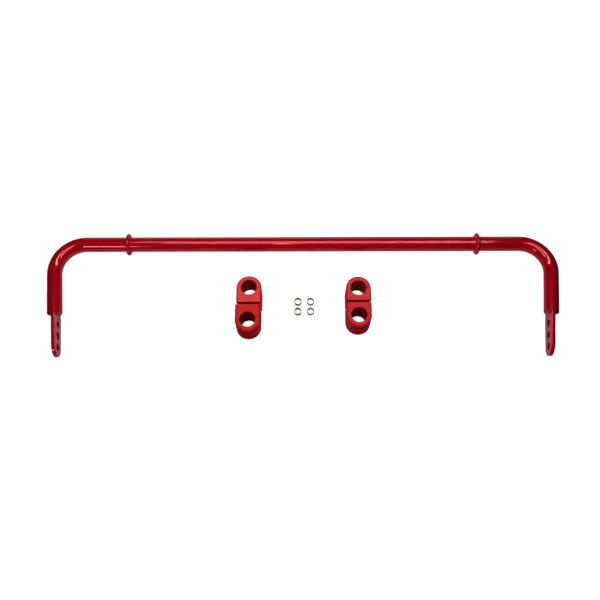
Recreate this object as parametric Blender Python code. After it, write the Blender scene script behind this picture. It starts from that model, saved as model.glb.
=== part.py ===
"""Sway bar kit laid out on a surface.

A one inch tubular sway bar with two welded ring locks and two drilled end blades lies
with its arms pointing to -Y. Two pairs of split mounting bushes stand on end between
the arms, a tall pair on the left and a short pair on the right, and four reducer
sleeves for the blade holes stand between the pairs.

Run with: blender --background --python part.py
"""

import math

import bmesh
import bpy
from mathutils import Euler, Vector

MM = 0.001
GAP = 0.3 * MM

# The bar: a round tube with a bend at each end.
TUBE_RADIUS = 12.7 * MM
TUBE_WALL = 3.2 * MM
TUBE_SIDES = 32
CORNER_X = 433.9 * MM
TOE_IN = math.radians(6.84)
BEND_RADIUS = 50.8 * MM
BEND_STEPS = 10
ARM_TUBE_END = 129.0 * MM

# The end blades: flat plate with three holes, tapering a little to a round tip.
BLADE_THICKNESS = 6.35 * MM
BLADE_ROOT_WIDTH = 38.1 * MM
BLADE_TIP_WIDTH = 34.9 * MM
BLADE_TIP_REACH = 15.9 * MM
BLADE_INWARD = 2.0 * MM
BLADE_BEVEL = 0.8 * MM
HOLE_RADIUS = 6.35 * MM
HOLE_PITCH = 20.25 * MM
HOLE_COUNT = 3
HOLE_SIDES = 24
LAST_HOLE = 190.1 * MM
SHOULDER_CHAMFER = 4.0 * MM
TIP_STEPS = 16
TANG_WIDTH = 14.0 * MM
TANG_THICKNESS = 5.5 * MM
TANG_DEPTH = 25.0 * MM

# The weld that joins each blade to the end of the tube.
WELD_LENGTH = 6.0 * MM
WELD_HALF_THICKNESS = 4.6 * MM
WELD_HALF_WIDTH = 14.6 * MM
WELD_SIDES = 32
WELD_STATIONS = 4

# The ring locks: round rod closed round the tube, with a small weld on each side.
LOCK_X = 303.4 * MM
LOCK_ROD_RADIUS = 3.175 * MM
LOCK_TOE = 4.6 * MM
LOCK_ARC_START = math.radians(-20.0)
LOCK_ARC_STEPS = 12
LOCK_SIDES = 32

# The bushes: a round back, a flat base, flanges and a middle rib with strap grooves.
BUSH_LENGTH = 46.0 * MM
BUSH_RADIUS = 21.0 * MM
BUSH_EDGE = 1.5 * MM
BUSH_CORNER = 2.5 * MM
BUSH_FLANGE = 8.0 * MM
BUSH_RIB = 5.4 * MM
BUSH_GROOVE = 3.0 * MM
BORE_RADIUS = 12.9 * MM
BORE_EDGE = 0.7 * MM
SLIT_WIDTH = 0.4 * MM
ARC_STEPS = 16
SIDE_STEPS = 3
CORNER_STEPS = 2
BASE_STEPS = 6
PAIR_GAP = 2.3 * MM
TALL_BASE = 27.2 * MM
SHORT_BASE = 22.7 * MM

# Where each pair stands: the bore of the rear bush, and how far the front one is offset.
TALL_REAR_BORE = Vector((-90.4 * MM, -91.9 * MM))
TALL_OFFSET = -1.3 * MM
SHORT_REAR_BORE = Vector((92.6 * MM, -93.3 * MM))
SHORT_OFFSET = 0.0

# The reducer sleeves, in two rows of two.
SLEEVE_RADIUS = 6.3 * MM
SLEEVE_BORE = 5.1 * MM
SLEEVE_LENGTH = 7.6 * MM
SLEEVE_EDGE = 0.3 * MM
SLEEVE_SIDES = 32
SLEEVE_CENTRE = Vector((2.0 * MM, -111.0 * MM))
SLEEVE_PITCH = Vector((21.6 * MM, 17.8 * MM))

# The bar lies level, on its ring locks and on the roots of its blades.
LOCK_RADIUS = TUBE_RADIUS + 2.0 * LOCK_ROD_RADIUS


def clear_scene():
    for old in list(bpy.data.objects):
        bpy.data.objects.remove(old, do_unlink=True)


def make_material(name, colour, roughness, metallic):
    material = bpy.data.materials.new(name)
    material.use_nodes = True
    shader = material.node_tree.nodes["Principled BSDF"]
    shader.inputs["Base Color"].default_value = (*colour, 1.0)
    shader.inputs["Roughness"].default_value = roughness
    shader.inputs["Metallic"].default_value = metallic
    return material


def add_object(name, bm, material, parent=None):
    """Turn a bmesh into a smooth-shaded object with its normals facing out."""
    bmesh.ops.recalc_face_normals(bm, faces=bm.faces)
    mesh = bpy.data.meshes.new(name)
    bm.to_mesh(mesh)
    bm.free()
    mesh.shade_smooth()
    mesh.set_sharp_from_angle(angle=math.radians(35.0))
    if material:
        mesh.materials.append(material)
    obj = bpy.data.objects.new(name, mesh)
    bpy.context.scene.collection.objects.link(obj)
    obj.parent = parent
    return obj


def skin_loops(bm, loops, wrap=False):
    """Join rings of points with quads; wrap also joins the last ring to the first."""
    rings = [[bm.verts.new(point) for point in loop] for loop in loops]
    pairs = list(zip(rings, rings[1:]))
    if wrap:
        pairs.append((rings[-1], rings[0]))
    for ring, following in pairs:
        for i in range(len(ring)):
            j = (i + 1) % len(ring)
            bm.faces.new((ring[i], ring[j], following[j], following[i]))
    return rings


def arc_angles(start, end, steps):
    return [start + (end - start) * i / steps for i in range(steps + 1)]


def arm_direction(side):
    """Unit vector along an arm, away from the straight tube; side is -1 or 1."""
    return Vector((-side * math.sin(TOE_IN), -math.cos(TOE_IN), 0.0))


def blade_shift(side):
    """The blades are set in from the tube's axis, towards the middle of the bar."""
    across = arm_direction(side).cross(Vector((0.0, 0.0, 1.0)))
    return side * BLADE_INWARD * across


def bar_centreline():
    """Points and tangents along the bar, from the left tube end to the right one."""
    turn = math.pi / 2.0 + TOE_IN
    bend_x = CORNER_X - BEND_RADIUS * math.tan(turn / 2.0)
    right_half = []
    for angle in arc_angles(0.0, turn, BEND_STEPS):
        point = Vector((bend_x + BEND_RADIUS * math.sin(angle),
                        BEND_RADIUS * (math.cos(angle) - 1.0), 0.0))
        tangent = Vector((math.cos(angle), -math.sin(angle), 0.0))
        right_half.append((point, tangent))
    right_half.append((Vector((CORNER_X, 0.0, 0.0)) + arm_direction(1) * ARM_TUBE_END,
                       arm_direction(1)))
    left_half = [(Vector((-point.x, point.y, 0.0)), Vector((tangent.x, -tangent.y, 0.0)))
                 for point, tangent in reversed(right_half)]
    return left_half + right_half


def ring_round(point, tangent, radius, sides):
    up = Vector((0.0, 0.0, 1.0))
    across = up.cross(tangent).normalized()
    return [point + radius * (math.cos(angle) * across + math.sin(angle) * up)
            for angle in arc_angles(0.0, math.tau, sides)[:-1]]


def make_bar_tube(material, parent):
    line = bar_centreline()
    outer = [ring_round(point, tangent, TUBE_RADIUS, TUBE_SIDES) for point, tangent in line]
    inner = [ring_round(point, tangent, TUBE_RADIUS - TUBE_WALL, TUBE_SIDES)
             for point, tangent in reversed(line)]
    bm = bmesh.new()
    skin_loops(bm, outer + inner, wrap=True)
    return add_object("bar_tube", bm, material, parent)


def make_ring_lock(name, side, material, parent):
    """A turned ring: a round rod section with straight weld toes down to the tube."""
    bore = TUBE_RADIUS + GAP
    rod_centre = LOCK_RADIUS - LOCK_ROD_RADIUS
    section = [(-LOCK_TOE, bore)]
    for angle in arc_angles(math.pi - LOCK_ARC_START, LOCK_ARC_START, LOCK_ARC_STEPS):
        section.append((LOCK_ROD_RADIUS * math.cos(angle),
                        rod_centre + LOCK_ROD_RADIUS * math.sin(angle)))
    section.append((LOCK_TOE, bore))
    axis = Vector((1.0, 0.0, 0.0))
    loops = [ring_round(Vector((x, 0.0, 0.0)), axis, radius, LOCK_SIDES) for x, radius in section]
    bm = bmesh.new()
    skin_loops(bm, loops, wrap=True)
    lock = add_object(name, bm, material, parent)
    lock.location.x = side * LOCK_X
    return lock


def blade_outline(inset):
    """Outline of the blade in its own plane: x along the arm from the corner, y across."""
    start = ARM_TUBE_END + GAP + WELD_LENGTH + GAP + inset
    root = BLADE_ROOT_WIDTH / 2.0 - inset
    tip = BLADE_TIP_WIDTH / 2.0 - inset
    tip_centre = LAST_HOLE + BLADE_TIP_REACH - BLADE_TIP_WIDTH / 2.0
    points = [(start, -root + SHOULDER_CHAMFER), (start + SHOULDER_CHAMFER, -root)]
    for angle in arc_angles(-math.pi / 2.0, math.pi / 2.0, TIP_STEPS):
        points.append((tip_centre + tip * math.cos(angle), tip * math.sin(angle)))
    points += [(start + SHOULDER_CHAMFER, root), (start, root - SHOULDER_CHAMFER)]
    return points


def hole_outline(index, radius):
    centre = LAST_HOLE - index * HOLE_PITCH
    return [(centre + radius * math.cos(angle), radius * math.sin(angle))
            for angle in arc_angles(0.0, math.tau, HOLE_SIDES)[:-1]]


def add_plate_wall(bm, outlines_by_height):
    """Stack one outline through the plate and return the edges of its two rims."""
    loops = [[(x, y, height) for x, y in outline] for height, outline in outlines_by_height]
    rings = skin_loops(bm, loops)
    rims = []
    for ring in (rings[0], rings[-1]):
        count = len(ring)
        rims.append([bm.edges.get((ring[i], ring[(i + 1) % count])) for i in range(count)])
    return rims


def make_blade(name, side, material, parent):
    """Blade plate with bevelled edges and holes, joined to the tang inside the tube."""
    half = BLADE_THICKNESS / 2.0
    levels = [(-half, BLADE_BEVEL), (-half + BLADE_BEVEL, 0.0),
              (half - BLADE_BEVEL, 0.0), (half, BLADE_BEVEL)]
    bm = bmesh.new()
    walls = [add_plate_wall(bm, [(z, blade_outline(inset)) for z, inset in levels])]
    for index in range(HOLE_COUNT):
        hole = [(z, hole_outline(index, HOLE_RADIUS + inset / 2.0)) for z, inset in levels]
        walls.append(add_plate_wall(bm, hole))
    for rim in range(2):
        edges = [edge for wall in walls for edge in wall[rim]]
        bmesh.ops.triangle_fill(bm, use_beauty=True, use_dissolve=False, edges=edges)
    blade = add_object(name, bm, material, parent)
    tang = make_tang(name + "_tang_guide")
    union = blade.modifiers.new("join tang", 'BOOLEAN')
    union.operation = 'UNION'
    union.object = tang
    # Blade x runs along the arm, blade y is up, blade z is across the arm.
    along = arm_direction(side)
    turn = Euler((math.pi / 2.0, 0.0, math.atan2(along.y, along.x)))
    for obj in (blade, tang):
        obj.parent = parent
        obj.rotation_euler = turn
        obj.location = Vector((side * CORNER_X, 0.0, 0.0)) + blade_shift(side)
    return blade


def make_tang(name):
    start = ARM_TUBE_END - TANG_DEPTH
    end = ARM_TUBE_END + WELD_LENGTH + SHOULDER_CHAMFER
    bm = bmesh.new()
    bmesh.ops.create_cube(bm, size=1.0)
    bmesh.ops.scale(bm, vec=(end - start, TANG_WIDTH, TANG_THICKNESS), verts=bm.verts)
    bmesh.ops.translate(bm, vec=((start + end) / 2.0, 0.0, 0.0), verts=bm.verts)
    tang = add_object(name, bm, None)
    tang.hide_render = True
    tang.display_type = 'WIRE'
    return tang


def blend_to_rectangle(angle, radius, half_x, half_y, share):
    """Point between a circle and the rounded rectangle inside it at the same angle."""
    power = 4.0
    cosine = math.cos(angle)
    sine = math.sin(angle)
    reach = (abs(cosine / half_x) ** power + abs(sine / half_y) ** power) ** (-1.0 / power)
    distance = radius + (reach - radius) * share
    return distance * cosine, distance * sine


def make_end_weld(name, side, material, parent):
    """A fillet weld that tapers from the tube's end face to the root of the blade."""
    along = arm_direction(side)
    across = along.cross(Vector((0.0, 0.0, 1.0)))
    corner = Vector((side * CORNER_X, 0.0, 0.0))
    shift = blade_shift(side)
    angles = arc_angles(0.0, math.tau, WELD_SIDES)[:-1]
    hole_x = TANG_THICKNESS / 2.0 + GAP
    hole_y = TANG_WIDTH / 2.0 + GAP

    def place(distance, x, y):
        return corner + along * distance + across * x + Vector((0.0, 0.0, y))

    def hole_point(angle):
        reach = min(hole_x / max(abs(math.cos(angle)), 1e-6),
                    hole_y / max(abs(math.sin(angle)), 1e-6))
        return reach * math.cos(angle), reach * math.sin(angle)

    start = ARM_TUBE_END + GAP
    outer = []
    for step in range(WELD_STATIONS):
        share = step / (WELD_STATIONS - 1)
        swell = math.sin(math.pi * share) * 0.8 * MM
        ring = [blend_to_rectangle(angle, TUBE_RADIUS - GAP + swell, WELD_HALF_THICKNESS,
                                   WELD_HALF_WIDTH, share) for angle in angles]
        outer.append([place(start + WELD_LENGTH * share, x, y) + share * shift for x, y in ring])
    inner = [[place(start + WELD_LENGTH * share, *hole_point(angle)) + shift for angle in angles]
             for share in (1.0, 0.0)]
    bm = bmesh.new()
    skin_loops(bm, outer + inner, wrap=True)
    return add_object(name, bm, material, parent)


def bush_outline(base, inset, groove):
    """Half-open outline round a bush, from the slit round the back and base to the slit.

    The bore is at the origin, the base is the flat at y = -base, and the slit is at +x.
    A strap groove narrows the back and sides, and leaves the base where it is.
    """
    radius = BUSH_RADIUS - inset - groove
    bottom = -base + inset
    corner = BUSH_CORNER
    slit = SLIT_WIDTH / 2.0
    points = [(radius, slit)]
    points += [(radius * math.cos(a), radius * math.sin(a))
               for a in arc_angles(0.0, math.pi, ARC_STEPS)[1:]]
    drop = bottom + corner
    points += [(-radius, drop * i / SIDE_STEPS) for i in range(1, SIDE_STEPS)]
    points += [(-radius + corner + corner * math.cos(a), drop + corner * math.sin(a))
               for a in arc_angles(math.pi, 1.5 * math.pi, CORNER_STEPS)]
    flat = radius - corner
    points += [(-flat + 2.0 * flat * i / BASE_STEPS, bottom) for i in range(1, BASE_STEPS)]
    points += [(flat + corner * math.cos(a), drop + corner * math.sin(a))
               for a in arc_angles(1.5 * math.pi, math.tau, CORNER_STEPS)]
    points += [(radius, drop * i / SIDE_STEPS) for i in range(SIDE_STEPS - 1, 0, -1)]
    points.append((radius, -slit))
    return points


def bush_stations():
    """Height, edge inset and groove depth up a bush: flange, groove, rib, groove, flange."""
    top = BUSH_LENGTH
    rib_low = (BUSH_LENGTH - BUSH_RIB) / 2.0
    rib_high = (BUSH_LENGTH + BUSH_RIB) / 2.0
    return [(0.0, BUSH_EDGE, 0.0), (BUSH_EDGE, 0.0, 0.0),
            (BUSH_FLANGE, 0.0, 0.0), (BUSH_FLANGE, 0.0, BUSH_GROOVE),
            (rib_low, 0.0, BUSH_GROOVE), (rib_low, 0.0, 0.0),
            (rib_high, 0.0, 0.0), (rib_high, 0.0, BUSH_GROOVE),
            (top - BUSH_FLANGE, 0.0, BUSH_GROOVE), (top - BUSH_FLANGE, 0.0, 0.0),
            (top - BUSH_EDGE, 0.0, 0.0), (top, BUSH_EDGE, 0.0)]


def make_bush(name, base, bore_xy, turn, mirror, material):
    """A split bush standing on end; turn spins it about its bore, mirror moves the slit."""
    bore_angles = [math.atan2(y, x) for x, y in bush_outline(base, 0.0, 0.0)]
    half_slit = math.asin(SLIT_WIDTH / 2.0 / BORE_RADIUS)
    bore_angles[0] = half_slit
    bore_angles[-1] = -half_slit
    loops = []
    for height, inset, groove in bush_stations():
        at_end = height in (0.0, BUSH_LENGTH)
        bore = BORE_RADIUS + (BORE_EDGE if at_end else 0.0)
        loop = [(mirror * x, y, height) for x, y in bush_outline(base, inset, groove)]
        loop += [(mirror * bore * math.cos(a), bore * math.sin(a), height)
                 for a in reversed(bore_angles)]
        loops.append(loop)
    bm = bmesh.new()
    rings = skin_loops(bm, loops)
    for ring in (rings[0], rings[-1]):
        last = len(ring) - 1
        for i in range(len(ring) // 2 - 1):
            bm.faces.new((ring[i], ring[i + 1], ring[last - i - 1], ring[last - i]))
    bush = add_object(name, bm, material)
    bush.rotation_euler.z = turn
    bush.location = (bore_xy.x, bore_xy.y, 0.0)
    return bush


def make_bush_pair(prefix, base, rear_bore, offset, outer_side, material):
    """Two bushes with their flat bases facing each other; the slits face outer_side."""
    front_bore = rear_bore + Vector((offset, -2.0 * base - PAIR_GAP))
    make_bush(prefix + "_bush_rear", base, rear_bore, 0.0, outer_side, material)
    make_bush(prefix + "_bush_front", base, front_bore, math.pi, -outer_side, material)


def make_sleeve(name, centre, material):
    """A short turned tube standing on end."""
    edge = SLEEVE_EDGE
    top = SLEEVE_LENGTH
    section = [(0.0, SLEEVE_RADIUS - edge), (edge, SLEEVE_RADIUS), (top - edge, SLEEVE_RADIUS),
               (top, SLEEVE_RADIUS - edge), (top, SLEEVE_BORE), (0.0, SLEEVE_BORE)]
    angles = arc_angles(0.0, math.tau, SLEEVE_SIDES)[:-1]
    loops = [[(radius * math.cos(a), radius * math.sin(a), height) for a in angles]
             for height, radius in section]
    bm = bmesh.new()
    skin_loops(bm, loops, wrap=True)
    sleeve = add_object(name, bm, material)
    sleeve.location = (centre.x, centre.y, 0.0)
    return sleeve


def make_sleeves(material):
    for row, row_side in (("rear", 0.5), ("front", -0.5)):
        for column, column_side in (("left", -0.5), ("right", 0.5)):
            offset = Vector((SLEEVE_PITCH.x * column_side, SLEEVE_PITCH.y * row_side))
            make_sleeve("sleeve_" + row + "_" + column, SLEEVE_CENTRE + offset, material)


def make_bar(material):
    """The welded bar: everything here is one rigid piece on the tube's own axis."""
    axis = bpy.data.objects.new("bar_axis", None)
    bpy.context.scene.collection.objects.link(axis)
    axis.location.z = LOCK_RADIUS
    make_bar_tube(material, axis)
    for name, side in (("left", -1), ("right", 1)):
        make_ring_lock("ring_lock_" + name, side, material, axis)
        make_blade("end_blade_" + name, side, material, axis)
        make_end_weld("blade_weld_" + name, side, material, axis)


def centre_front_to_back():
    """Slide the whole kit along Y so that the origin is at its bottom centre."""
    tip = (LAST_HOLE + BLADE_TIP_REACH) * math.cos(TOE_IN)
    tip_corner = (BLADE_THICKNESS / 2.0 - BLADE_BEVEL - BLADE_INWARD) * math.sin(TOE_IN)
    middle = (LOCK_RADIUS - tip - tip_corner) / 2.0
    for obj in bpy.data.objects:
        if obj.parent is None:
            obj.location.y -= middle


def main():
    clear_scene()
    red_gloss = make_material("red_powder_coat", (0.42, 0.006, 0.012), 0.25, 0.0)
    red_urethane = make_material("red_urethane", (0.45, 0.014, 0.017), 0.5, 0.0)
    yellow_zinc = make_material("yellow_zinc", (0.55, 0.47, 0.24), 0.3, 1.0)
    make_bar(red_gloss)
    make_bush_pair("tall", TALL_BASE, TALL_REAR_BORE, TALL_OFFSET, -1, red_urethane)
    make_bush_pair("short", SHORT_BASE, SHORT_REAR_BORE, SHORT_OFFSET, 1, red_urethane)
    make_sleeves(yellow_zinc)
    centre_front_to_back()


main()
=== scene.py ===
"""Looks of the sway bar kit: fine surfaces, materials, light and camera on the CAD frame."""

import math

import bmesh
import bpy
from mathutils import Euler, Matrix, Vector


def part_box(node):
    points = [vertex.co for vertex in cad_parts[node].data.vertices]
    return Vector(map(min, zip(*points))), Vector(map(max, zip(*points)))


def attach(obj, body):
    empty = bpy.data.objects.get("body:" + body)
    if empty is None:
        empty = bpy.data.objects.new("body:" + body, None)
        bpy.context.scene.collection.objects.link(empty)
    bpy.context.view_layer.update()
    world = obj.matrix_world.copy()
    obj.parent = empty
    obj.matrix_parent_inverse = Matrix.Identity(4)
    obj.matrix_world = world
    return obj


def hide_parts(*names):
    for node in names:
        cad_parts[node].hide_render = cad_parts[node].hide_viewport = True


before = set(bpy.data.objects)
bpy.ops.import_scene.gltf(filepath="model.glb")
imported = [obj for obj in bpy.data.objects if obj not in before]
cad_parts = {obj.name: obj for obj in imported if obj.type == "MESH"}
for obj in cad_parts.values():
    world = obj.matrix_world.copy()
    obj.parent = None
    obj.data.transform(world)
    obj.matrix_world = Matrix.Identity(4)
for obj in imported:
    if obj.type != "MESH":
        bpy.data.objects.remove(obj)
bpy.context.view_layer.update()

MM = 0.001

# Stock sizes of the bar, as in the CAD.
TUBE_RADIUS = 12.7 * MM
TUBE_WALL = 3.2 * MM
BEND_RADIUS = 50.8 * MM
TOE_IN = math.radians(6.84)
ARM_TUBE_END = 129.0 * MM
BLADE_THICKNESS = 6.35 * MM
BLADE_ROOT_WIDTH = 38.1 * MM
BLADE_TIP_WIDTH = 34.9 * MM
BLADE_TIP_REACH = 15.9 * MM
BLADE_INWARD = 2.0 * MM
HOLE_RADIUS = 6.35 * MM
HOLE_PITCH = 20.25 * MM
HOLE_COUNT = 3
LAST_HOLE = 190.1 * MM
LOCK_ROD_RADIUS = 3.175 * MM

# Rounded edges of the blades and their holes.
BLADE_CORNER = 4.0 * MM
BLADE_RIM = 0.9 * MM
HOLE_RIM = 0.6 * MM
BLADE_GAP = 0.4 * MM

# Weld at the foot of each ring lock: a fillet inside, a rippled bead outside.
LOCK_FILLET = 0.4 * MM
LOCK_FILLET_START = math.radians(-30.0)
LOCK_FILLET_POWER = 1.7
LOCK_BEAD = 1.5 * MM
LOCK_BEAD_RIPPLE = 0.4 * MM
LOCK_BEAD_RIPPLES = 27
LOCK_BEAD_WAVE = 0.2 * MM
LOCK_BEAD_WAVES = 4
LOCK_SINK = 0.1 * MM

# Weld between each tube end and its blade: a mound behind the end, a cap in front of it.
# The mound's two angles are half its width round the tube, in radians.
WELD_RIPPLE = 0.22 * MM
WELD_RIPPLE_PACE = 2.4 / MM
WELD_RIPPLE_SWAY = 1.5
WELD_STEP = 0.01 * MM
MOUND_LENGTH = 6.5 * MM
MOUND_RISE = 4.4 * MM
MOUND_SINK = 0.12 * MM
MOUND_TAIL_ANGLE = 0.12
MOUND_FRONT_ANGLE = 0.48
CAP_LENGTH = 5.6 * MM
CAP_EDGE = 0.5 * MM
CAP_TOE = 1.0 * MM
CAP_SOFTNESS = 2.2 * MM
CAP_ON_BLADE = 0.1 * MM
CAP_SHOULDER = 1.0 * MM
CAP_SINK = 0.5 * MM
CAP_SINK_START = 0.85
BLADE_SQUARENESS = 9.0

# Bush section. The edge is the draft round each end; the groove holds the bracket's strap.
# END_ROUNDING gives heights above the end, each with how far inside the edge it lies.
BUSH_RADIUS = 21.0 * MM
BUSH_FLANGE = 8.0 * MM
BUSH_RIB = 5.4 * MM
BUSH_GROOVE = 3.0 * MM
BUSH_CORNER = 2.5 * MM
BUSH_EDGE = 2.3 * MM
BUSH_EDGE_HEIGHT = 2.7 * MM
BASE_EDGE_SHARE = 0.35
END_ROUNDING = ((0.0, 0.25 * MM), (0.08 * MM, 0.06 * MM))
END_ROUNDING_HEIGHT = 0.3 * MM
GROOVE_EDGE = 0.7 * MM
GROOVE_ROOT = 1.0 * MM
BORE_RADIUS = 12.9 * MM
BORE_MOUTH = 1.3 * MM
GREASE_GROOVE_LOW = 7.0 * MM
GREASE_GROOVE_HIGH = 10.0 * MM
GREASE_GROOVE_DEPTH = 0.5 * MM
SLIT_WIDTH = 0.4 * MM

# Sleeve section.
SLEEVE_WALL = 1.2 * MM
SLEEVE_RIM = 0.35 * MM

# Tone and sheen of each bush: the front one of each pair is a little deeper, painted shade for
# the lesser light it gets, and duller.
BUSH_SHADE_AND_SHEEN = {
    "tall_bush_rear": (1.0, 0.12),
    "tall_bush_front": (0.77, 0.04),
    "short_bush_rear": (0.91, 0.09),
    "short_bush_front": (0.83, 0.05),
}

# Stage: a floor with a wall all round it, and an unseen sheet that bounces light up.
FLOOR_REACH = 9.0
FLOOR_HEIGHT = -0.0002
WALL_RADIUS = 8.8
WALL_FOOT = -0.01
WALL_TOP = 7.0
BOUNCE_LOW = (-0.43, -0.9)
BOUNCE_HIGH = (0.43, 1.6)
BOUNCE_HEIGHT = -0.0004

# Camera: its place from the bar's axis at mid-span, its lens and film in mm, its angles in
# radians.
CAMERA_OFFSET = (-0.0051, -0.5639, 1.1846)
CAMERA_LENS = 44.3
CAMERA_FILM = 36.0
CAMERA_TILT = 0.3752
CAMERA_ROLL = -0.0025


def lerp(low, high, share):
    """The value at a share of the way from low to high."""
    return low + (high - low) * share


def spread(start, end, steps):
    """Evenly spaced values from start to end, both included."""
    return [lerp(start, end, i / steps) for i in range(steps + 1)]


def full_turn(steps):
    """Evenly spaced angles once round a circle, without repeating the first."""
    return spread(0.0, math.tau, steps)[:-1]


def arc(centre, radius, start, end, steps):
    """Points of an arc in its plane, both ends included."""
    x, y = centre
    return [(x + radius * math.cos(a), y + radius * math.sin(a))
            for a in spread(start, end, steps)]


def circle(centre, radius, steps):
    """Points of a circle in its plane."""
    return arc(centre, radius, 0.0, math.tau, steps)[:-1]


# ---------------------------------------------------------------- places, from the frame

def bar_matrix():
    """The bar's own frame: origin on the tube's axis at mid-span."""
    low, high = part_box("ring_lock_left")
    return Matrix.Translation((0.0, (low.y + high.y) / 2.0, (low.z + high.z) / 2.0))


def corner_x():
    """Where the arm's centreline would meet the straight tube's, from the tube's box."""
    _, tube_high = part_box("bar_tube")
    bend_x = tube_high.x - BEND_RADIUS - TUBE_RADIUS
    return bend_x + BEND_RADIUS * math.tan((math.pi / 2.0 + TOE_IN) / 2.0)


BAR = bar_matrix()
CORNER_X = corner_x()


def arm_matrix(side):
    """Frame of one arm: X along the arm away from the corner, Y up, Z across."""
    yaw = math.atan2(-math.cos(TOE_IN), -side * math.sin(TOE_IN))
    turn = Euler((math.pi / 2.0, 0.0, yaw)).to_matrix().to_4x4()
    return BAR @ Matrix.Translation((side * CORNER_X, 0.0, 0.0)) @ turn


# ---------------------------------------------------------------- mesh building

def mesh_from(bm, name, material):
    """Turn a bmesh into a mesh with one material, and free it."""
    mesh = bpy.data.meshes.new(name)
    bm.to_mesh(mesh)
    bm.free()
    mesh.materials.append(material)
    return mesh


def add_object(name, data):
    """Make an object from its data and link it to the scene."""
    made = bpy.data.objects.new(name, data)
    bpy.context.scene.collection.objects.link(made)
    return made


def add_piece(name, bm, material, body, nodes, matrix, sharp=35.0):
    """Make an object from a bmesh, put it on its body and let it stand for CAD nodes."""
    bmesh.ops.recalc_face_normals(bm, faces=bm.faces)
    bmesh.ops.transform(bm, matrix=matrix, verts=bm.verts)
    mesh = mesh_from(bm, name, material)
    mesh.shade_smooth()
    mesh.set_sharp_from_angle(angle=math.radians(sharp))
    piece = add_object(name, mesh)
    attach(piece, body)
    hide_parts(*nodes)
    return piece


def shade_evenly(piece):
    """Keep large flat faces flat in shading beside their rounded edges."""
    weighted = piece.modifiers.new("even shading", 'WEIGHTED_NORMAL')
    weighted.keep_sharp = True


def skin_loops(bm, loops, wrap=False):
    """Join rings of points with quads; wrap also joins the last ring to the first."""
    rings = [[bm.verts.new(point) for point in loop] for loop in loops]
    pairs = list(zip(rings, rings[1:]))
    if wrap:
        pairs.append((rings[-1], rings[0]))
    for ring, following in pairs:
        for i in range(len(ring)):
            j = (i + 1) % len(ring)
            bm.faces.new((ring[i], ring[j], following[j], following[i]))
    return rings


def ring_round(point, tangent, radius, sides):
    """A ring of points round a place on a level line, square to the line."""
    up = Vector((0.0, 0.0, 1.0))
    across = up.cross(tangent).normalized()
    return [point + radius * (math.cos(a) * across + math.sin(a) * up) for a in full_turn(sides)]


# ---------------------------------------------------------------- the bar

def bar_centreline(bend_steps):
    """Points and directions of the tube's centreline, from the left end to the right."""
    turn = math.pi / 2.0 + TOE_IN
    bend_x = CORNER_X - BEND_RADIUS * math.tan(turn / 2.0)
    arm = Vector((-math.sin(TOE_IN), -math.cos(TOE_IN), 0.0))
    half = []
    for angle in spread(0.0, turn, bend_steps):
        point = Vector((bend_x + BEND_RADIUS * math.sin(angle),
                        BEND_RADIUS * (math.cos(angle) - 1.0), 0.0))
        half.append((point, Vector((math.cos(angle), -math.sin(angle), 0.0))))
    half.append((Vector((CORNER_X, 0.0, 0.0)) + arm * ARM_TUBE_END, arm))
    mirrored = [(Vector((-p.x, p.y, 0.0)), Vector((t.x, -t.y, 0.0)))
                for p, t in reversed(half)]
    return mirrored + half


def make_tube(material):
    """The hollow tube, open at both ends where the welds close it."""
    line = bar_centreline(bend_steps=40)
    sides = 96
    outer = [ring_round(p, t, TUBE_RADIUS, sides) for p, t in line]
    inner = [ring_round(p, t, TUBE_RADIUS - TUBE_WALL, sides) for p, t in reversed(line)]
    bm = bmesh.new()
    skin_loops(bm, outer + inner, wrap=True)
    add_piece("bar_tube_fine", bm, material, "bar", ["bar_tube"], BAR)


def lock_fillet(start, weld):
    """Hollow fillet from a place on the rod down to its toe, just under the tube's skin."""
    start_x, start_r = start
    points = []
    for share in spread(0.0, 1.0, 6)[1:]:
        x = lerp(start_x, LOCK_ROD_RADIUS + weld, share)
        height = (1.0 - share) ** LOCK_FILLET_POWER
        points.append((x, lerp(TUBE_RADIUS - LOCK_SINK, start_r, height)))
    return points


def lock_section(inner_weld, outer_weld):
    """Section of a ring lock: a round rod on the tube with a hollow fillet at each foot.

    The pairs are (place along the bar, distance from its axis), from the inner toe over the
    rod to the outer toe.
    """
    centre = (0.0, TUBE_RADIUS + LOCK_ROD_RADIUS)
    rod = arc(centre, LOCK_ROD_RADIUS, math.pi - LOCK_FILLET_START, LOCK_FILLET_START, 28)
    inner = [(-x, r) for x, r in reversed(lock_fillet(rod[-1], inner_weld))]
    return inner + rod + lock_fillet(rod[-1], outer_weld)


def make_lock(name, side, material):
    """One ring lock, with its weld bead on the side that faces the near end of the bar."""
    low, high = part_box("ring_lock_" + name)
    place = BAR @ Matrix.Translation(((low.x + high.x) / 2.0, 0.0, 0.0))
    rings = []
    for angle in full_turn(180):
        ripple = LOCK_BEAD_RIPPLE * math.sin(LOCK_BEAD_RIPPLES * angle)
        bead = LOCK_BEAD + ripple + LOCK_BEAD_WAVE * math.sin(LOCK_BEAD_WAVES * angle)
        spoke = Vector((0.0, math.cos(angle), math.sin(angle)))
        rings.append([spoke * r + Vector((side * x, 0.0, 0.0))
                      for x, r in lock_section(LOCK_FILLET, bead)])
    bm = bmesh.new()
    skin_loops(bm, rings, wrap=True)
    add_piece("ring_lock_" + name + "_fine", bm, material, "bar", ["ring_lock_" + name],
              place)


# ---------------------------------------------------------------- end blades

def rounded_levels(thickness, radius, steps):
    """Heights through a plate with the outline's inset at each, for rounded edges."""
    half = thickness / 2.0
    low = []
    for angle in spread(math.pi / 2.0, 0.0, steps):
        low.append((-half + radius * (1.0 - math.sin(angle)), radius * (1.0 - math.cos(angle))))
    return low + [(-z, inset) for z, inset in reversed(low)]


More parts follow.
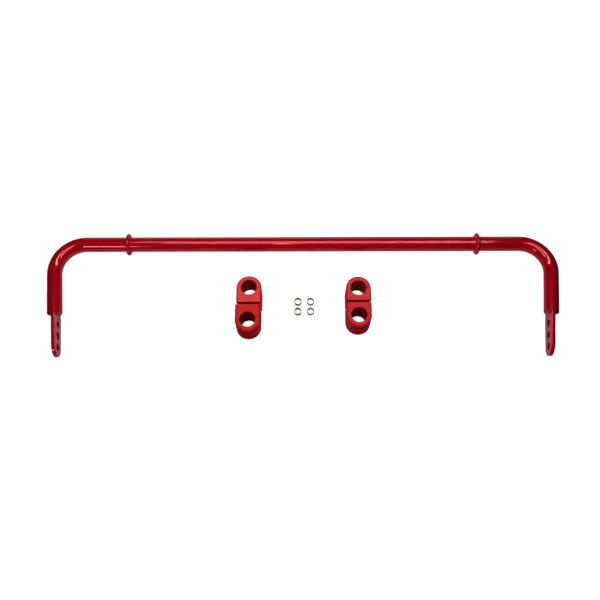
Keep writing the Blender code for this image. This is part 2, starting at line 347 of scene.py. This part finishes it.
def blade_outline(inset):
    """Outline in the blade's plane: square root under the weld, round tip."""
    start = ARM_TUBE_END + BLADE_GAP + inset
    root = BLADE_ROOT_WIDTH / 2.0 - inset
    tip = BLADE_TIP_WIDTH / 2.0 - inset
    tip_centre = LAST_HOLE + BLADE_TIP_REACH - BLADE_TIP_WIDTH / 2.0
    corner = (start + BLADE_CORNER, root - BLADE_CORNER)
    shoulder = arc(corner, BLADE_CORNER, math.pi / 2.0, math.pi, 6)
    mirrored = [(x, -y) for x, y in reversed(shoulder)]
    return mirrored + arc((tip_centre, 0.0), tip, -math.pi / 2.0, math.pi / 2.0, 64) + shoulder


def hole_outline(index, radius):
    """Outline of one hole in the blade's plane, counted from the tip."""
    return circle((LAST_HOLE - index * HOLE_PITCH, 0.0), radius, 64)


def add_plate_wall(bm, outlines_by_height):
    """Skin a wall through the blade and return the edges of its two rims."""
    loops = [[(x, y, height) for x, y in outline] for height, outline in outlines_by_height]
    rings = skin_loops(bm, loops)
    rims = []
    for ring in (rings[0], rings[-1]):
        count = len(ring)
        rims.append([bm.edges.get((ring[i], ring[(i + 1) % count])) for i in range(count)])
    return rims


def make_blade(name, side, material, hole_shade_material):
    """One drilled blade; the walls inside its holes take a darker copy of the coat, painted
    shade.
    """
    bm = bmesh.new()
    outer_levels = rounded_levels(BLADE_THICKNESS, BLADE_RIM, 5)
    walls = [add_plate_wall(bm, [(z, blade_outline(inset)) for z, inset in outer_levels])]
    outer_count = len(bm.faces)
    hole_levels = rounded_levels(BLADE_THICKNESS, HOLE_RIM, 4)
    for index in range(HOLE_COUNT):
        hole = [(z, hole_outline(index, HOLE_RADIUS + inset)) for z, inset in hole_levels]
        walls.append(add_plate_wall(bm, hole))
    bm.faces.ensure_lookup_table()
    # Painted shade: the hole walls, short of their rounded rims, take the second, darker
    # material.
    for face in bm.faces[outer_count:]:
        if abs(face.calc_center_median().z) < BLADE_THICKNESS / 2.0 - HOLE_RIM:
            face.material_index = 1
    for rim in range(2):
        edges = [edge for wall in walls for edge in wall[rim]]
        bmesh.ops.triangle_fill(bm, use_beauty=True, use_dissolve=False, edges=edges)
    place = arm_matrix(side) @ Matrix.Translation((0.0, 0.0, side * BLADE_INWARD))
    blade = add_piece("end_blade_" + name + "_fine", bm, material, "bar", ["end_blade_" + name],
                      place)
    blade.data.materials.append(hole_shade_material)
    shade_evenly(blade)


# ---------------------------------------------------------------- blade welds

def smooth_max(a, b, soft):
    """The larger of two values, rounded over where they are close."""
    return max(a, b) + max(soft - abs(a - b), 0.0) ** 2 / (4.0 * soft)


def blade_reach(angle, shift):
    """Distance from the arm's axis to the blade's root, which sits off to one side."""
    half_x = BLADE_THICKNESS / 2.0 + CAP_ON_BLADE
    half_y = BLADE_ROOT_WIDTH / 2.0 - CAP_SHOULDER
    across = abs(math.cos(angle)) / (half_x + math.copysign(shift, math.cos(angle)))
    along = abs(math.sin(angle)) / half_y
    return (across ** BLADE_SQUARENESS + along ** BLADE_SQUARENESS) ** (-1.0 / BLADE_SQUARENESS)


def mound_reach(ahead, angle, shift, ripple):
    """Behind the tube's end: a mound from each of the blade's shoulders back on to the tube."""
    share = max(1.0 + ahead / MOUND_LENGTH, 0.0)
    off_shoulder = abs(abs(angle) - math.pi / 2.0 + shift / TUBE_RADIUS)
    half_width = lerp(MOUND_TAIL_ANGLE, MOUND_FRONT_ANGLE, share ** 0.7)
    across = max(1.0 - (off_shoulder / half_width) ** 2, 0.0)
    rise = MOUND_RISE * share ** 1.3 * across ** 1.2
    return TUBE_RADIUS - MOUND_SINK + rise + ripple * min(rise / MM, 1.0)


def cap_reach(ahead, angle, shift, ripple):
    """In front of the tube's end: a cap that hollows down to the blade's faces."""
    share = ahead / CAP_LENGTH
    cap = lerp(CAP_TOE, TUBE_RADIUS - CAP_EDGE, (1.0 - share) ** 1.6)
    cap += ripple * (1.0 - share)
    sink = CAP_SINK * max(share - CAP_SINK_START, 0.0) / (1.0 - CAP_SINK_START)
    return smooth_max(cap, blade_reach(angle, shift), CAP_SOFTNESS) - sink


def weld_reach(station, angle, side):
    """How far the weld reaches from the arm's axis, at a place along it and round it."""
    shift = side * BLADE_INWARD
    ahead = station - ARM_TUBE_END
    phase = station * WELD_RIPPLE_PACE + WELD_RIPPLE_SWAY * math.cos(angle * 2.0)
    ripple = WELD_RIPPLE * math.sin(phase)
    if ahead < 0.0:
        return mound_reach(ahead, angle, shift, ripple)
    return cap_reach(ahead, angle, shift, ripple)


def weld_ring(station, side):
    """The weld's outline round the arm's axis at one station along it."""
    ring = []
    for angle in spread(-math.pi, math.pi, 200)[:-1]:
        reach = weld_reach(station, angle, side)
        ring.append((station, reach * math.sin(angle), reach * math.cos(angle)))
    return ring


def make_weld(name, side, material):
    """The weld bead: it closes the tube's end and climbs on to the blade all round."""
    stations = spread(ARM_TUBE_END - MOUND_LENGTH, ARM_TUBE_END - WELD_STEP, 26)
    stations += spread(ARM_TUBE_END, ARM_TUBE_END + CAP_LENGTH, 30)
    bm = bmesh.new()
    rings = skin_loops(bm, [weld_ring(station, side) for station in stations])
    bm.faces.new(rings[0])
    bm.faces.new(rings[-1])
    add_piece("blade_weld_" + name + "_fine", bm, material, "bar", ["blade_weld_" + name],
              arm_matrix(side))


# ---------------------------------------------------------------- bushes

def bush_outline(base, inset, groove):
    """Open outline from one lip of the slit round the back and the base to the other lip."""
    radius = BUSH_RADIUS - inset - groove
    bottom = -base + BASE_EDGE_SHARE * inset
    drop = bottom + BUSH_CORNER
    flat = radius - BUSH_CORNER
    points = [(radius, SLIT_WIDTH / 2.0)]
    points += arc((0.0, 0.0), radius, 0.0, math.pi, 72)[1:]
    points += [(-radius, y) for y in spread(0.0, drop, 12)[1:-1]]
    points += arc((-flat, drop), BUSH_CORNER, math.pi, 1.5 * math.pi, 8)
    points += [(x, bottom) for x in spread(-flat, flat, 24)[1:-1]]
    points += arc((flat, drop), BUSH_CORNER, 1.5 * math.pi, math.tau, 8)
    points += [(radius, y) for y in spread(drop, 0.0, 12)[1:-1]]
    points.append((radius, -SLIT_WIDTH / 2.0))
    return points


def groove_edge(height, inward):
    """Stations of the rounded edge of a flange or rib; inward is +1 where it lies above."""
    stations = []
    for angle in spread(0.0, math.pi / 2.0, 5):
        rise = GROOVE_EDGE * (1.0 - math.cos(angle))
        stations.append((height + inward * rise, GROOVE_EDGE * (1.0 - math.sin(angle))))
    return stations


def groove_root(height, inward):
    """Stations of the rounded corner between a flange's wall and the groove's floor."""
    stations = []
    for angle in spread(0.0, math.pi / 2.0, 4):
        rise = GROOVE_ROOT * (1.0 - math.cos(angle))
        depth = BUSH_GROOVE - GROOVE_ROOT * (1.0 - math.sin(angle))
        stations.append((height + inward * rise, depth))
    return stations


def flange_edge():
    """Stations of the steep drafted edge of an end flange, rounded at both its ends."""
    stations = [(rise, BUSH_EDGE + further) for rise, further in END_ROUNDING]
    for share in spread(0.0, 1.0, 8):
        rise = lerp(END_ROUNDING_HEIGHT, BUSH_EDGE_HEIGHT, share)
        stations.append((rise, BUSH_EDGE * (1.0 - share) ** 1.2))
    return stations


def bush_profile(length):
    """Heights and depths up the outside: rounded flanges, strap grooves and the rib."""
    rib_low = (length - BUSH_RIB) / 2.0
    low = flange_edge()
    low += reversed(groove_edge(BUSH_FLANGE, -1))
    low += groove_root(BUSH_FLANGE, 1)
    low += reversed(groove_root(rib_low, -1))
    low += groove_edge(rib_low, 1)
    return low + [(length - z, depth) for z, depth in reversed(low)]


def bore_stations(length):
    """Heights and radii up the bore: rounded mouths and two shallow grease grooves."""
    low = [(BORE_MOUTH * (1.0 - math.cos(a)), BORE_RADIUS + BORE_MOUTH * (1.0 - math.sin(a)))
           for a in spread(0.0, math.pi / 2.0, 5)]
    for share in spread(0.0, 1.0, 6):
        depth = GREASE_GROOVE_DEPTH * math.sin(math.pi * share)
        low.append((lerp(GREASE_GROOVE_LOW, GREASE_GROOVE_HIGH, share), BORE_RADIUS + depth))
    return low + [(length - z, r) for z, r in reversed(low)]


def bush_outer_rows(base, length):
    """Outlines up the outside of a bush, each an open row of points at one height.

    The drafted edges of the ends go round the base too; the grooves leave it whole.
    """
    rows = []
    for z, inset in bush_profile(length):
        if z < BUSH_EDGE_HEIGHT or z > length - BUSH_EDGE_HEIGHT:
            outline = bush_outline(base, inset, 0.0)
        else:
            outline = bush_outline(base, 0.0, inset)
        rows.append([(x, y, z) for x, y in outline])
    return rows


def bush_bore_rows(base, length):
    """Arcs up the bore, with a point for each point of the outline outside it."""
    angles = [math.atan2(y, x) for x, y in bush_outline(base, 0.0, 0.0)]
    half_slit = math.asin(SLIT_WIDTH / 2.0 / BORE_RADIUS)
    angles[0] = half_slit
    angles[-1] = -half_slit
    return [[(radius * math.cos(a), radius * math.sin(a), z) for a in angles]
            for z, radius in bore_stations(length)]


def skin_strip(bm, row, following):
    """Join two open rows of vertices with quads."""
    for i in range(len(row) - 1):
        bm.faces.new((row[i], row[i + 1], following[i + 1], following[i]))


def skin_rows(bm, rows, side):
    """Make and join open rows of points, mirrored where side is -1."""
    made = [[bm.verts.new((side * x, y, z)) for x, y, z in row] for row in rows]
    for row, following in zip(made, made[1:]):
        skin_strip(bm, row, following)
    return made


def bush_place(name, base):
    """Where a bush stands on its bore's axis, its base to the other bush of its pair."""
    low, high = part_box(name)
    middle = (low.x + high.x) / 2.0
    if name.endswith("rear"):
        return Matrix.Translation((middle, low.y + base, low.z))
    half_turn = Matrix.Rotation(math.pi, 4, 'Z')
    return Matrix.Translation((middle, high.y - base, low.z)) @ half_turn


def make_bush(name, material):
    """A moulded bush on end, split on its side away from mid-span, sized by its CAD box."""
    low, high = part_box(name)
    length = high.z - low.z
    base = high.y - low.y - BUSH_RADIUS
    outward = -1.0 if name.startswith("tall") else 1.0
    slit_side = outward if name.endswith("rear") else -outward
    bm = bmesh.new()
    outer = skin_rows(bm, bush_outer_rows(base, length), slit_side)
    inner = skin_rows(bm, bush_bore_rows(base, length), slit_side)
    for end in (0, -1):
        skin_strip(bm, outer[end], inner[end])
    for lip in (0, -1):
        bm.faces.new([row[lip] for row in outer] + [row[lip] for row in reversed(inner)])
    bmesh.ops.triangulate(bm, faces=[face for face in bm.faces if len(face.verts) > 4])
    bush = add_piece(name + "_fine", bm, material, name + "_body", [name],
                     bush_place(name, base), sharp=50.0)
    shade_evenly(bush)


# ---------------------------------------------------------------- sleeves

def sleeve_section(radius, height):
    """Radii and heights round the wall of a sleeve, with its four edges rounded."""
    bore = radius - SLEEVE_WALL
    outer_r = radius - SLEEVE_RIM
    inner_r = bore + SLEEVE_RIM
    top = height - SLEEVE_RIM
    quarter = math.pi / 2.0
    section = []
    corners = ((outer_r, SLEEVE_RIM, -quarter), (outer_r, top, 0.0),
               (inner_r, top, quarter), (inner_r, SLEEVE_RIM, math.pi))
    for *centre, start in corners:
        section += arc(centre, SLEEVE_RIM, start, start + quarter, 4)
    return section


def make_sleeve(name, material):
    """A short turned tube with rounded rims, placed by its CAD node's box."""
    low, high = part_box(name)
    place = Matrix.Translation(((low.x + high.x) / 2.0, (low.y + high.y) / 2.0, low.z))
    section = sleeve_section((high.x - low.x) / 2.0, high.z - low.z)
    bm = bmesh.new()
    loops = [[(x, y, z) for x, y in circle((0.0, 0.0), r, 96)] for r, z in section]
    skin_loops(bm, loops, wrap=True)
    add_piece(name + "_fine", bm, material, name + "_body", [name], place)


# ---------------------------------------------------------------- materials

def new_material(name):
    """A new material, its node tree and its shader."""
    material = bpy.data.materials.new(name)
    material.use_nodes = True
    tree = material.node_tree
    return material, tree, tree.nodes["Principled BSDF"]


def noise_at(tree, scale, detail=3.0, stretch=(1.0, 1.0, 1.0)):
    """A noise texture in object coordinates, finer along an axis that is stretched."""
    coords = tree.nodes.new("ShaderNodeTexCoord")
    mapping = tree.nodes.new("ShaderNodeMapping")
    mapping.inputs["Scale"].default_value = stretch
    texture = tree.nodes.new("ShaderNodeTexNoise")
    texture.inputs["Scale"].default_value = scale
    texture.inputs["Detail"].default_value = detail
    tree.links.new(coords.outputs["Object"], mapping.inputs["Vector"])
    tree.links.new(mapping.outputs["Vector"], texture.inputs["Vector"])
    return texture.outputs["Fac"]


def ramp(tree, factor, stops):
    """A colour ramp from (position, colour) stops."""
    node = tree.nodes.new("ShaderNodeValToRGB")
    elements = node.color_ramp.elements
    while len(elements) < len(stops):
        elements.new(0.5)
    for element, (position, colour) in zip(elements, stops):
        element.position = position
        element.color = (*colour, 1.0)
    tree.links.new(factor, node.inputs["Fac"])
    return node.outputs["Color"]


def drift(tree, shader, socket, scale, low, high, **noise):
    """Let a shader input drift between two colours with a noise."""
    values = ramp(tree, noise_at(tree, scale, **noise), [(0.3, low), (0.7, high)])
    tree.links.new(values, shader.inputs[socket])


def grey(value):
    """A colour whose three channels are one value."""
    return (value, value, value)


def scaled(colour, tone):
    """A deeper shade of a red: its green and blue fall faster than its red."""
    red, green, blue = colour
    return (red * tone, green * tone ** 3, blue * tone ** 3)


def bump(tree, height, distance, strength, normal=None):
    """Bump from a height, on top of another bump if one is given."""
    node = tree.nodes.new("ShaderNodeBump")
    node.inputs["Distance"].default_value = distance
    node.inputs["Strength"].default_value = strength
    tree.links.new(height, node.inputs["Height"])
    if normal is not None:
        tree.links.new(normal, node.inputs["Normal"])
    return node.outputs["Normal"]


def powder_coat(name, tone):
    """Gloss red powder coat with a metallic depth, faintly orange-peeled."""
    material, tree, shader = new_material(name)
    drift(tree, shader, "Base Color", 45.0,
          scaled((0.29, 0.0005, 0.005), tone), scaled((0.32, 0.0007, 0.006), tone))
    drift(tree, shader, "Roughness", 160.0, grey(0.06), grey(0.09))
    shader.inputs["Metallic"].default_value = 0.3
    peel = bump(tree, noise_at(tree, 800.0, detail=1.0), distance=0.00001, strength=0.06)
    wave = bump(tree, noise_at(tree, 130.0, detail=1.0), distance=0.00004, strength=0.04,
                normal=peel)
    tree.links.new(wave, shader.inputs["Normal"])
    return material


def painted_light_share(tree):
    """How far a face looks up in its object: 0 on the sides, 1 on the cut ends and other faces
    that look up; the mask for painted light and shade.
    """
    coords = tree.nodes.new("ShaderNodeTexCoord")
    axes = tree.nodes.new("ShaderNodeSeparateXYZ")
    tree.links.new(coords.outputs["Normal"], axes.inputs["Vector"])
    return ramp(tree, axes.outputs["Z"], [(0.50, grey(0.0)), (0.90, grey(1.0))])


def urethane(name, tone, sheen):
    """Satin polyurethane: faces that look up painted paler and the sides deeper, painted light
    and shade; each bush gets its own tone.
    """
    material, tree, shader = new_material(name)
    blotches = noise_at(tree, 60.0)
    ends = ramp(tree, blotches, [(0.3, scaled((0.39, 0.010, 0.014), tone)),
                                 (0.7, scaled((0.45, 0.013, 0.018), tone))])
    sides = ramp(tree, blotches, [(0.3, scaled((0.23, 0.002, 0.005), tone)),
                                  (0.7, scaled((0.28, 0.003, 0.007), tone))])
    light_and_shade_mix = tree.nodes.new("ShaderNodeMix")
    light_and_shade_mix.data_type = 'RGBA'
    # Painted light and shade: faces that look up take the paler colour, the sides the deeper
    # one.
    tree.links.new(painted_light_share(tree), light_and_shade_mix.inputs["Factor"])
    tree.links.new(sides, light_and_shade_mix.inputs["A"])
    tree.links.new(ends, light_and_shade_mix.inputs["B"])
    tree.links.new(light_and_shade_mix.outputs["Result"], shader.inputs["Base Color"])
    drift(tree, shader, "Roughness", 240.0, grey(0.40), grey(0.52))
    shader.inputs["Specular IOR Level"].default_value = sheen
    grain = bump(tree, noise_at(tree, 1800.0, detail=2.0), distance=0.00002, strength=0.5)
    swell = bump(tree, noise_at(tree, 120.0, detail=1.0), distance=0.0001, strength=0.3,
                 normal=grain)
    tree.links.new(swell, shader.inputs["Normal"])
    return material


def yellow_zinc():
    """Zinc with a dull yellow passivate that drifts a little towards green and brown."""
    material, tree, shader = new_material("yellow_zinc")
    colour = ramp(tree, noise_at(tree, 90.0, detail=1.0),
                  [(0.30, (0.17, 0.215, 0.070)), (0.50, (0.19, 0.22, 0.075)),
                   (0.70, (0.20, 0.20, 0.080))])
    tree.links.new(colour, shader.inputs["Base Color"])
    drift(tree, shader, "Roughness", 500.0, grey(0.24), grey(0.34), stretch=(1.0, 1.0, 8.0))
    shader.inputs["Metallic"].default_value = 0.9
    lines = bump(tree, noise_at(tree, 500.0, stretch=(0.4, 0.4, 9.0)), distance=0.00001,
                 strength=0.3)
    tree.links.new(lines, shader.inputs["Normal"])
    return material


def matte(name, colour, glow):
    """A material without gloss that may glow white."""
    material, _, shader = new_material(name)
    shader.inputs["Base Color"].default_value = (*colour, 1.0)
    shader.inputs["Roughness"].default_value = 1.0
    shader.inputs["Specular IOR Level"].default_value = 0.0
    shader.inputs["Emission Color"].default_value = (1.0, 1.0, 1.0, 1.0)
    shader.inputs["Emission Strength"].default_value = glow
    return material


# ---------------------------------------------------------------- stage, light and camera

def add_stage(name, bm, material):
    stage = add_object(name, mesh_from(bm, name, material))
    return stage


def add_sheet(name, material, low, high, height):
    """A flat stage sheet between two corners in the plane."""
    bm = bmesh.new()
    corners = [(low[0], low[1]), (high[0], low[1]), (high[0], high[1]), (low[0], high[1])]
    bm.faces.new([bm.verts.new((x, y, height)) for x, y in corners])
    return add_stage(name, bm, material)


def add_wall(name, material):
    """A round stage wall that closes off the horizon in low views."""
    outline = circle((0.0, 0.0), WALL_RADIUS, 64)
    bm = bmesh.new()
    skin_loops(bm, [[(x, y, z) for x, y in outline] for z in (WALL_FOOT, WALL_TOP)])
    return add_stage(name, bm, material)


def make_floor():
    """A glowing white floor and wall that are only seen, and a dim sheet that bounces light."""
    white = matte("white_floor", grey(0.35), glow=0.88)
    floor = add_sheet("white_floor", white, (-FLOOR_REACH, -FLOOR_REACH),
                      (FLOOR_REACH, FLOOR_REACH), FLOOR_HEIGHT)
    wall = add_wall("white_wall", white)
    for seen in (floor, wall):
        seen.visible_diffuse = False
        seen.visible_glossy = False
        seen.visible_shadow = False
    dim = matte("bounce_floor", (0.46, 0.29, 0.34), glow=0.0)
    bounce = add_sheet("bounce_floor", dim, BOUNCE_LOW, BOUNCE_HIGH, BOUNCE_HEIGHT)
    bounce.visible_camera = False


def add_area_light(name, place, target, size, power, glossy=True, diffuse=True):
    """An area light in metres and watts that may be hidden from gloss or from matte skin."""
    light = bpy.data.lights.new(name, 'AREA')
    light.shape = 'RECTANGLE'
    light.size, light.size_y = size
    light.energy = power
    lamp = add_object(name, light)
    lamp.location = place
    direction = Vector(target) - Vector(place)
    lamp.rotation_euler = direction.to_track_quat('-Z', 'Y').to_euler()
    lamp.visible_camera = False
    lamp.visible_glossy = glossy
    lamp.visible_diffuse = diffuse


def make_lights():
    """Soft light for the colours, and strips and boxes that show as lines on the gloss."""
    add_area_light("key_overhead", place=(-0.05, 0.12, 0.75), target=(-0.05, 0.12, 0.0),
                   size=(0.9, 0.7), power=10.4, glossy=False)
    add_area_light("fill_front", place=(0.0, -0.5, 0.15), target=(0.0, -0.03, 0.03),
                   size=(0.3, 0.1), power=0.8, glossy=False)
    add_area_light("back_card", place=(0.0, 2.4, 0.3), target=(0.0, 0.0, 0.1),
                   size=(2.4, 0.6), power=5.0, diffuse=False)
    add_area_light("strip_overhead", place=(0.05, 0.46, 1.5), target=(0.05, 0.46, 0.0),
                   size=(1.36, 0.11), power=7.0, diffuse=False)
    add_area_light("strip_middle", place=(0.10, -0.04, 1.5), target=(0.10, -0.04, 0.0),
                   size=(1.2, 0.11), power=5.6, diffuse=False)
    add_area_light("strip_front", place=(-0.07, -0.31, 1.5), target=(0.0, -0.31, 0.0),
                   size=(0.5, 0.05), power=0.5)
    add_area_light("box_front_left", place=(-1.1, -2.15, 1.5), target=(0.0, 0.0, 0.0),
                   size=(0.5, 0.4), power=8.0)


def make_camera():
    camera = bpy.data.cameras.new("camera")
    camera.sensor_width = CAMERA_FILM
    camera.lens = CAMERA_LENS
    seat = add_object("camera", camera)
    across, back, up = CAMERA_OFFSET
    place = Matrix.Translation((across, BAR.translation.y + back, up))
    tilt = Matrix.Rotation(CAMERA_TILT, 4, 'X')
    roll = Matrix.Rotation(CAMERA_ROLL, 4, 'Z')
    seat.matrix_world = place @ tilt @ roll
    bpy.context.scene.camera = seat


def make_world():
    """A world that is nearly dark, so that the lights shape the gloss."""
    world = bpy.data.worlds.new("dim studio")
    bpy.context.scene.world = world
    world.use_nodes = True
    background = world.node_tree.nodes["Background"]
    background.inputs["Color"].default_value = (*grey(0.015), 1.0)


def make_kit():
    red_gloss = powder_coat("red_powder_coat", 1.0)
    # Painted shade: a darker copy of the coat for the walls inside the blades' holes.
    hole_shade_coat = powder_coat("red_powder_coat_hole_shade", 0.3)
    zinc = yellow_zinc()
    make_tube(red_gloss)
    for name, side in (("left", -1), ("right", 1)):
        make_lock(name, side, red_gloss)
        make_blade(name, side, red_gloss, hole_shade_coat)
        make_weld(name, side, red_gloss)
    # Painted shade: the front bush of each pair gets a darker tone.
    for name, (tone, sheen) in BUSH_SHADE_AND_SHEEN.items():
        make_bush(name, urethane("red_urethane_" + name, tone, sheen))
    for row in ("rear", "front"):
        for column in ("left", "right"):
            make_sleeve("sleeve_" + row + "_" + column, zinc)


def main():
    bpy.context.scene.view_settings.view_transform = 'Standard'
    make_kit()
    make_floor()
    make_lights()
    make_camera()
    make_world()


main()
